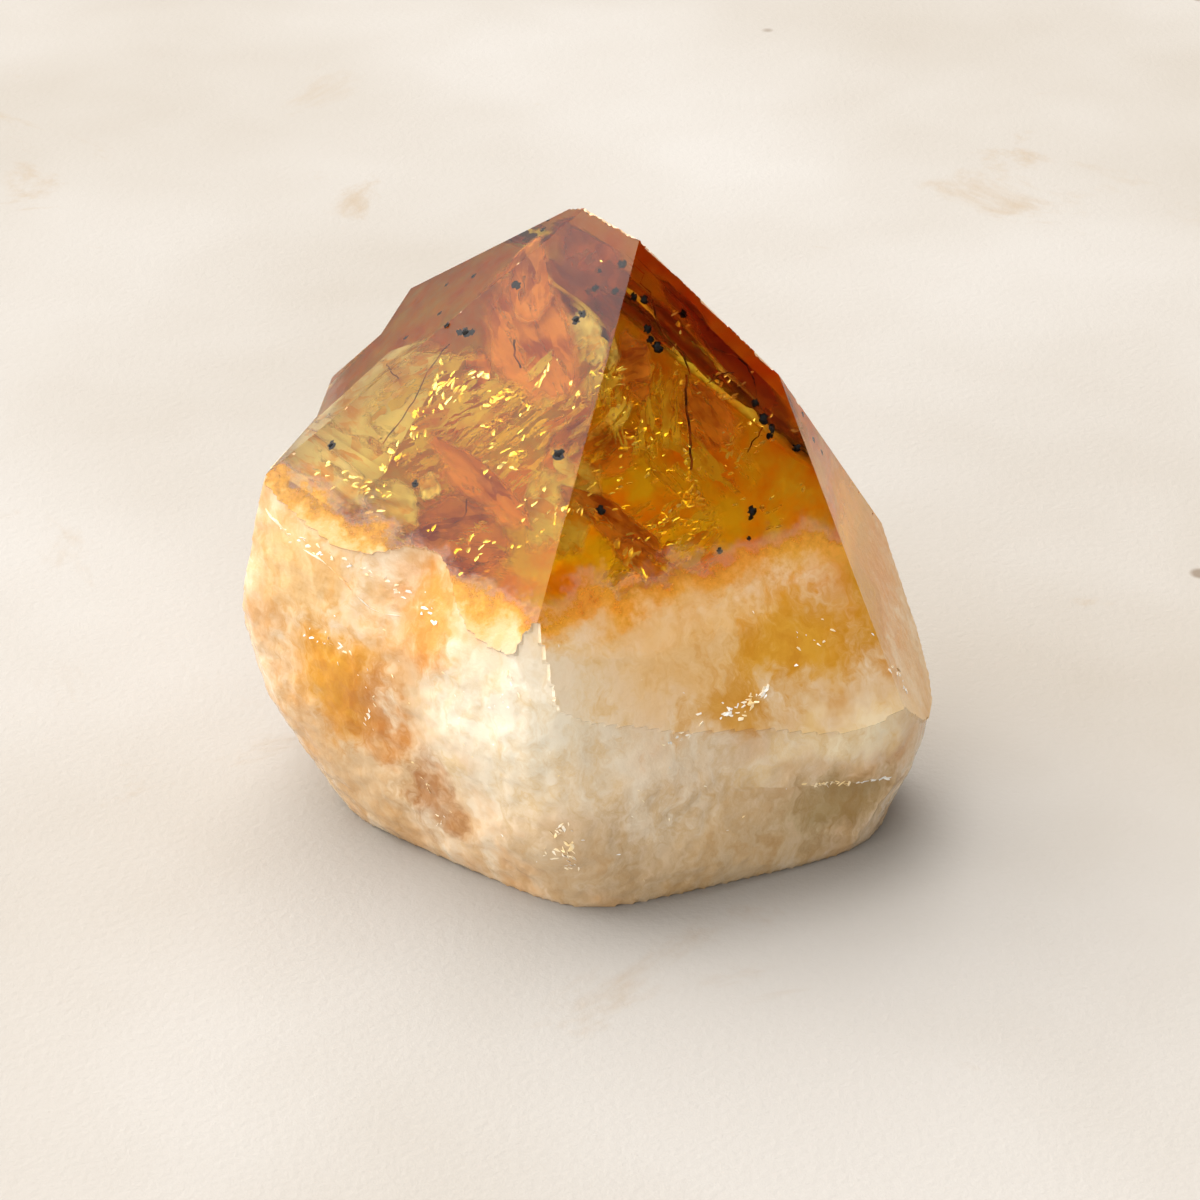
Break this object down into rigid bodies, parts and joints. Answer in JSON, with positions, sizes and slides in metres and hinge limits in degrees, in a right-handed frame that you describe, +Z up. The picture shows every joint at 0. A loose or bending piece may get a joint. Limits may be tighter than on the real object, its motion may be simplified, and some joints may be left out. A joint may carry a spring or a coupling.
{
  "type": "citrine crystal point",
  "caption": "Natural citrine crystal with a clear amber six-faced point on a milky, broken root, resting upright on a flat base.",
  "frame": {"origin": "middle of the crystal's bounding box, at the plane of its flat base", "axes": "+Z up, +X along the widest extent, -Y towards the side where the two largest pyramid faces meet"},
  "size_m": [0.056, 0.0454, 0.0506],
  "materials": {
    "citrine_quartz": "natural crystal faces, clear amber above and milky peach-white in the root"
  },
  "bodies": {
    "root": {"citrine_crystal": "citrine_quartz"}
  },
  "joints": []
}
